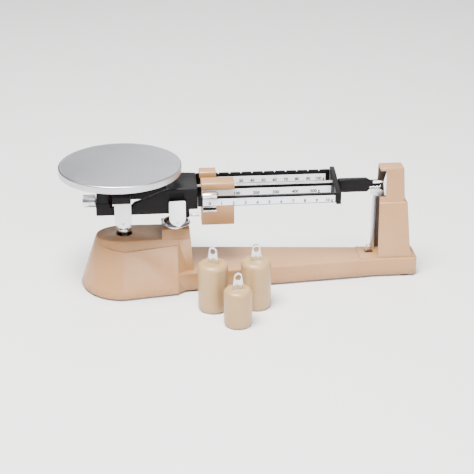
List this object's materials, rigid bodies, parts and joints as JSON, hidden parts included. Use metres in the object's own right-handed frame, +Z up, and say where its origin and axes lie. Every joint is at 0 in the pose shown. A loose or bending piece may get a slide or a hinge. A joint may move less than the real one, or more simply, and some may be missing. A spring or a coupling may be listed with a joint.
{
  "type": "triple beam balance",
  "caption": "Mechanical laboratory balance: round steel platform on a pivoted beam with three graduated bars and sliding poises, a pointer tower and hanging attachment weights.",
  "frame": {"origin": "middle of the whole model's plan (the loose weights included), on the bench", "axes": "+X along the beam from the platform to the tower, +Y from the scales' side to the back, +Z up"},
  "size_m": [0.4524, 0.2214, 0.16],
  "materials": {
    "beige_paint": "smooth semi-gloss enamel",
    "black_paint": "semi-gloss black enamel",
    "white_plastic": "smooth moulded plastic",
    "scale_white": "printed satin strip",
    "stainless": "fine satin stainless",
    "bright_steel": "bright plated steel",
    "knife_steel": "ground hardened steel",
    "bearing_stone": "polished bearing stone",
    "aluminium": "bare sheet aluminium",
    "magnet_grey": "dark cast magnet",
    "rubber": "moulded rubber",
    "weight_paint": "smooth enamel on cast iron"
  },
  "bodies": {
    "base": {"base_casting": "beige_paint", "foot_front_left": "rubber", "foot_front_right": "rubber", "foot_rear_left": "rubber", "foot_rear_right": "rubber", "fulcrum_bracket": "knife_steel", "fulcrum_ring": "bright_steel", "fulcrum_cover_front": "white_plastic", "fulcrum_cover_rear": "white_plastic", "fulcrum_rivet_front": "bright_steel", "fulcrum_rivet_rear": "bright_steel", "check_link_bracket": "bright_steel", "check_link_pin": "knife_steel", "tower_shell": "beige_paint", "tower_screw": "bright_steel", "index_plate": "white_plastic", "damper_magnet": "magnet_grey", "damper_side_plate": "aluminium", "spring_clip": "bright_steel"},
    "beam": {"beam_frame": "black_paint", "fulcrum_knife": "knife_steel", "pan_knife": "knife_steel", "zero_stud": "knife_steel", "balance_screw": "aluminium", "front_bar": "black_paint", "centre_bar": "black_paint", "rear_bar": "black_paint", "front_scale": "scale_white", "centre_scale": "scale_white", "rear_scale": "scale_white", "crosshead": "black_paint", "pointer_arm": "black_paint", "pointer": "white_plastic", "weight_hook": "bright_steel", "vane_bracket": "aluminium", "damper_vane": "aluminium"},
    "pan_carrier": {"pan_stem": "bright_steel", "pan_bearing_front": "bearing_stone", "pan_bearing_rear": "bearing_stone", "pan_hanger": "black_paint", "pan_cover_front": "white_plastic", "pan_cover_rear": "white_plastic", "pan_rivet_front": "bright_steel", "pan_rivet_rear": "bright_steel"},
    "platform": {"pan": "stainless", "pan_boss": "black_paint"},
    "link": {"check_link": "aluminium"},
    "knob": {"zero_knob": "bright_steel"},
    "front_rider": {"front_poise": "bright_steel"},
    "centre_slider": {"centre_poise": "beige_paint"},
    "rear_slider": {"rear_poise": "beige_paint"},
    "loose_weight_left": {"weight_left": "weight_paint", "weight_eye_left": "bright_steel"},
    "loose_weight_right": {"weight_right": "weight_paint", "weight_eye_right": "bright_steel"},
    "loose_weight_front": {"weight_front": "weight_paint", "weight_eye_front": "bright_steel"}
  },
  "joints": [
    {"name": "beam_rock", "type": "hinge", "parent": "base", "child": "beam", "pos_m": [-0.08175, 0.0347, 0.11], "axis": [0, 1, 0], "range_deg": [-3, 3]},
    {"name": "pan_pivot", "type": "hinge", "parent": "beam", "child": "pan_carrier", "pos_m": [-0.14845, 0.0347, 0.11], "axis": [0, 1, 0], "range_deg": [-3, 3]},
    {"name": "check_link_pivot", "type": "hinge", "parent": "base", "child": "link", "pos_m": [-0.08175, 0.0347, 0.045], "axis": [0, 1, 0], "range_deg": [-3, 3]},
    {"name": "platform_lift", "type": "slide", "parent": "pan_carrier", "child": "platform", "axis": [0, 0, 1], "range_m": [0, 0.03]},
    {"name": "zero_knob_turn", "type": "hinge", "parent": "beam", "child": "knob", "pos_m": [-0.19, 0.0347, 0.112], "axis": [1, 0, 0], "continuous": true},
    {"name": "front_poise_slide", "type": "slide", "parent": "beam", "child": "front_rider", "axis": [1, 0, 0], "range_m": [0, 0.1482]},
    {"name": "centre_poise_slide", "type": "slide", "parent": "beam", "child": "centre_slider", "axis": [1, 0, 0], "range_m": [0, 0.123]},
    {"name": "rear_poise_slide", "type": "slide", "parent": "beam", "child": "rear_slider", "axis": [1, 0, 0], "range_m": [0, 0.1435]},
    {"name": "weight_left_lift", "type": "slide", "parent": "base", "child": "loose_weight_left", "axis": [0, 0, 1], "range_m": [0, 0.08]},
    {"name": "weight_right_lift", "type": "slide", "parent": "base", "child": "loose_weight_right", "axis": [0, 0, 1], "range_m": [0, 0.08]},
    {"name": "weight_front_lift", "type": "slide", "parent": "base", "child": "loose_weight_front", "axis": [0, 0, 1], "range_m": [0, 0.08]}
  ],
  "couplings": [
    {"joint": "pan_pivot", "follows": "beam_rock", "ratio": -1},
    {"joint": "check_link_pivot", "follows": "beam_rock", "ratio": 1}
  ]
}
